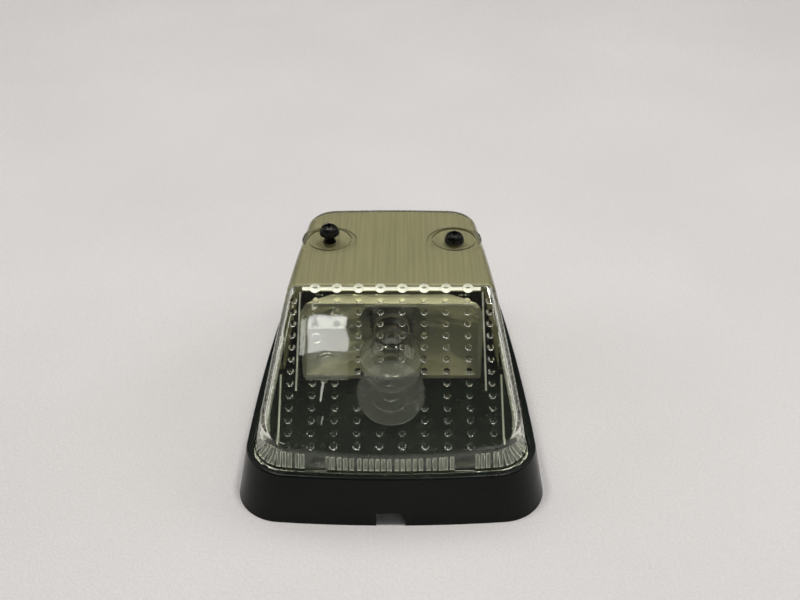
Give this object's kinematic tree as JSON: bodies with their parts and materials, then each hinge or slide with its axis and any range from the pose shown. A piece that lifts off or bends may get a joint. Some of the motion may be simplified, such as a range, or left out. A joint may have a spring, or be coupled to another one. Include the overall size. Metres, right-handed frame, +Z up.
{
  "type": "turn signal indicator",
  "caption": "Tapered indicator lamp with a clear ridged lens over a black flared base, held by screws, with a bayonet bulb inside.",
  "frame": {"origin": "centre of the foot, in the plane the lamp stands on", "axes": "+X across the lamp, +Y from the wide end to the narrow end, +Z up through the lens"},
  "size_m": [0.1112, 0.137, 0.0629],
  "materials": {
    "black_housing": "satin moulded",
    "clear_lens": "clear moulded, slightly yellow",
    "khaki_cover": "moulded",
    "bright_reflector": "vacuum metallised",
    "black_rubber": "moulded",
    "brass": "plain",
    "bulb_brass": "bright",
    "zinc_steel": "zinc plated",
    "aluminium": "plain",
    "insulating_board": "laminated board",
    "spring_steel": "drawn wire",
    "black_washer": "blackened",
    "black_screw": "blackened",
    "bulb_glass": "clear",
    "tungsten": "drawn wire",
    "cement": "matt",
    "black_glass": "pressed",
    "solder": "cast"
  },
  "bodies": {
    "base": {"base_housing": "black_housing", "mounting_inserts": "brass", "cable_grommet": "black_rubber", "fixing_screws": "zinc_steel", "lens_gasket": "black_rubber", "inner_cover": "khaki_cover", "reflector": "bright_reflector", "socket_sleeve": "zinc_steel", "socket_flange": "zinc_steel", "socket_rivets": "aluminium", "socket_end_disc": "insulating_board", "live_terminal": "brass", "earth_terminal": "brass", "contact_spring": "spring_steel"},
    "lens": {"lens": "clear_lens"},
    "left_washer": {"screw_washer_left": "black_washer"},
    "left_screw": {"lens_screw_left": "black_screw"},
    "right_washer": {"screw_washer_right": "black_washer"},
    "right_screw": {"lens_screw_right": "black_screw"},
    "plunger": {"contact_carrier": "insulating_board", "contact_stud": "brass"},
    "bulb": {"bulb_glass": "bulb_glass", "glass_stem": "bulb_glass", "filament": "tungsten", "filament_leads": "tungsten", "bulb_cap": "bulb_brass", "cap_cement": "cement", "bayonet_pins": "bulb_brass", "cap_insulator": "black_glass", "bulb_contact": "solder"}
  },
  "joints": [
    {"name": "lens_lift", "type": "slide", "parent": "base", "child": "lens", "axis": [0, 0, 1], "range_m": [0, 0.06]},
    {"name": "left_screw_rise", "type": "slide", "parent": "lens", "child": "left_washer", "axis": [0, 0, 1], "range_m": [-0.0036, 0.009]},
    {"name": "left_screw_turn", "type": "hinge", "parent": "left_washer", "child": "left_screw", "pos_m": [-0.0248, 0.0315, 0.05526], "axis": [0, 0, 1], "range_deg": [-926.7, 2315.3]},
    {"name": "right_screw_rise", "type": "slide", "parent": "lens", "child": "right_washer", "axis": [0, 0, 1], "range_m": [0, 0.0126]},
    {"name": "right_screw_turn", "type": "hinge", "parent": "right_washer", "child": "right_screw", "pos_m": [0.0248, 0.0315, 0.05526], "axis": [0, 0, 1], "range_deg": [0, 3241]},
    {"name": "bulb_press", "type": "slide", "parent": "base", "child": "plunger", "axis": [0, 1, 0], "range_m": [0, 0.002], "stiffness_N_per_m": 1500, "springref_m": -0.004, "deforming": ["contact_spring"]},
    {"name": "bulb_turn", "type": "hinge", "parent": "plunger", "child": "bulb", "pos_m": [0, 0.01265, 0.032], "axis": [0, 1, 0], "range_deg": [0, 20]}
  ],
  "couplings": [
    {"joint": "left_screw_turn", "follows": "left_screw_rise", "rad_per_m": 4488},
    {"joint": "right_screw_turn", "follows": "right_screw_rise", "rad_per_m": 4488}
  ]
}
